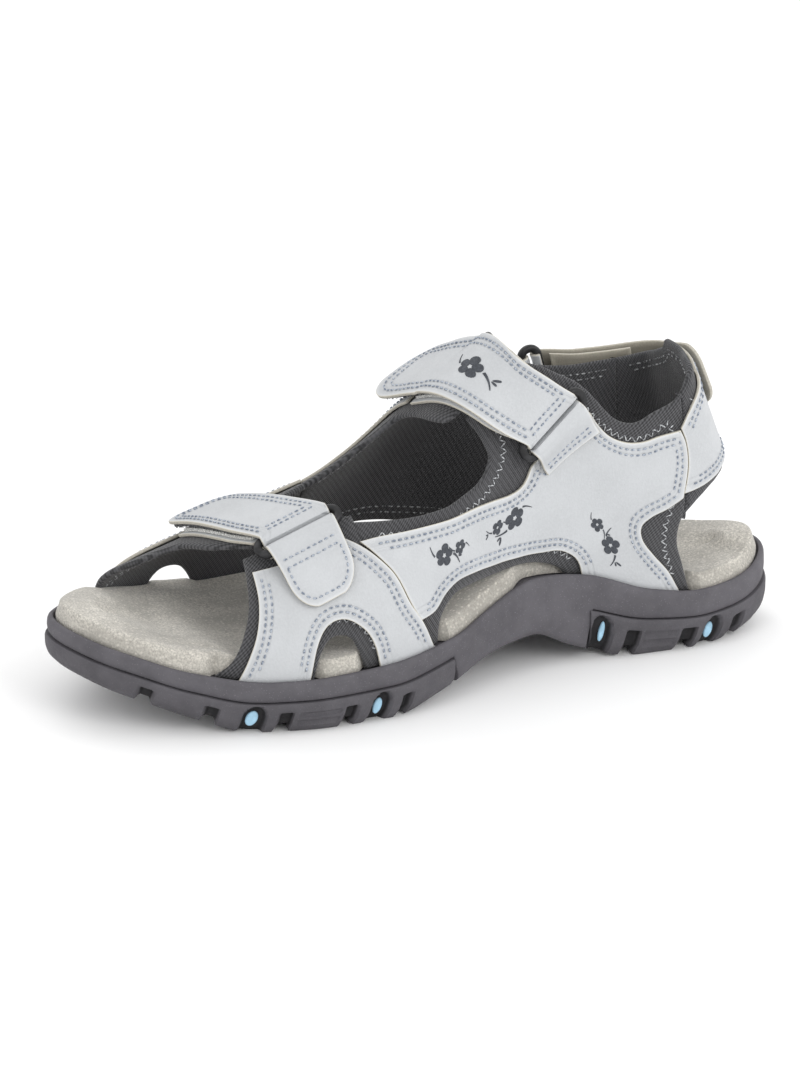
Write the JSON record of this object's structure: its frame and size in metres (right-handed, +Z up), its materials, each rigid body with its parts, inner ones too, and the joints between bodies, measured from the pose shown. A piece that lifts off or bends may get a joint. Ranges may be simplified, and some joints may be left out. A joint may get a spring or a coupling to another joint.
{
  "type": "strappy sport sandal",
  "caption": "Right foot sport sandal: lugged rubber sole, padded suede footbed and leather straps that close through rings with hook-and-loop tabs at forefoot, instep and heel.",
  "frame": {"origin": "bottom centre of the bounding box: on the ground under the middle of the sole", "axes": "+Y towards the heel (the toe points to -Y), +X towards the big-toe side, +Z up"},
  "size_m": [0.1002, 0.267, 0.1193],
  "materials": {
    "grey_leather": "smooth cool grey leather, cream cut edges",
    "dark_lining": "charcoal woven stretch lining",
    "midsole_foam": "matte moulded rubber foam, dark warm grey, finely speckled",
    "tread_rubber": "matte moulded tread rubber",
    "footbed_suede": "cream suede",
    "footbed_foam": "cork-coloured foam",
    "blue_rubber": "matte light blue rubber",
    "ring_plastic": "black moulded plastic",
    "hook_fleece": "dark hook tape",
    "loop_fleece": "pale loop tape"
  },
  "bodies": {
    "sandal": {"midsole": "midsole_foam", "forefoot_outsole": "tread_rubber", "heel_outsole": "tread_rubber", "footbed_core": "footbed_foam", "footbed_cover": "footbed_suede", "medial_lug_insert_1": "blue_rubber", "medial_lug_insert_2": "blue_rubber", "medial_lug_insert_3": "blue_rubber", "medial_lug_insert_4": "blue_rubber", "lateral_lug_insert_1": "blue_rubber", "lateral_lug_insert_2": "blue_rubber", "lateral_lug_insert_3": "blue_rubber", "lateral_lug_insert_4": "blue_rubber", "medial_vamp": "grey_leather", "medial_quarter": "grey_leather", "heel_strap_back": "grey_leather", "lateral_vamp": "grey_leather", "lateral_quarter": "grey_leather", "medial_vamp_lining": "dark_lining", "medial_quarter_lining": "dark_lining", "heel_collar_lining": "dark_lining", "lateral_vamp_lining": "dark_lining", "lateral_quarter_lining": "dark_lining", "forefoot_ring_chape": "grey_leather", "forefoot_strap_base": "grey_leather", "forefoot_loop_patch": "loop_fleece", "instep_ring_chape": "grey_leather", "instep_strap_base": "grey_leather", "instep_loop_patch": "loop_fleece", "heel_ring_chape": "grey_leather", "heel_strap_base": "grey_leather", "heel_loop_patch": "loop_fleece"},
    "forefoot_ring_swing_body": {"forefoot_ring": "ring_plastic"},
    "forefoot_tab_body": {"forefoot_strap_tab": "grey_leather", "forefoot_hook_patch": "hook_fleece"},
    "instep_ring_swing_body": {"instep_ring": "ring_plastic"},
    "instep_tab_body": {"instep_strap_tab": "grey_leather", "instep_hook_patch": "hook_fleece"},
    "heel_ring_swing_body": {"heel_ring": "ring_plastic"},
    "heel_tab_body": {"heel_strap_tab": "grey_leather", "heel_hook_patch": "hook_fleece"}
  },
  "joints": [
    {"name": "forefoot_ring_swing", "type": "hinge", "parent": "sandal", "child": "forefoot_ring_swing_body", "pos_m": [0.02565, -0.05007, 0.06187], "axis": [-0.0479, 0.9373, 0.3453], "range_deg": [0, 15]},
    {"name": "forefoot_tab_open", "type": "hinge", "parent": "forefoot_ring_swing_body", "child": "forefoot_tab_body", "pos_m": [0.01956, -0.05122, 0.06414], "axis": [-0.0479, 0.9373, 0.3453], "range_deg": [0, 105]},
    {"name": "instep_ring_swing", "type": "hinge", "parent": "sandal", "child": "instep_ring_swing_body", "pos_m": [0.0235, 0.04315, 0.08844], "axis": [-0.1659, 0.7596, 0.6289], "range_deg": [0, 15]},
    {"name": "instep_tab_open", "type": "hinge", "parent": "instep_ring_swing_body", "child": "instep_tab_body", "pos_m": [0.02347, 0.03894, 0.09352], "axis": [-0.1659, 0.7596, 0.6289], "range_deg": [0, 105]},
    {"name": "heel_ring_swing", "type": "hinge", "parent": "sandal", "child": "heel_ring_swing_body", "pos_m": [-0.03575, 0.05518, 0.08328], "axis": [0.039, -0.2746, 0.9608], "range_deg": [0, 15]},
    {"name": "heel_tab_open", "type": "hinge", "parent": "heel_ring_swing_body", "child": "heel_tab_body", "pos_m": [-0.0355, 0.06153, 0.08508], "axis": [0.039, -0.2746, 0.9608], "range_deg": [0, 105]}
  ]
}
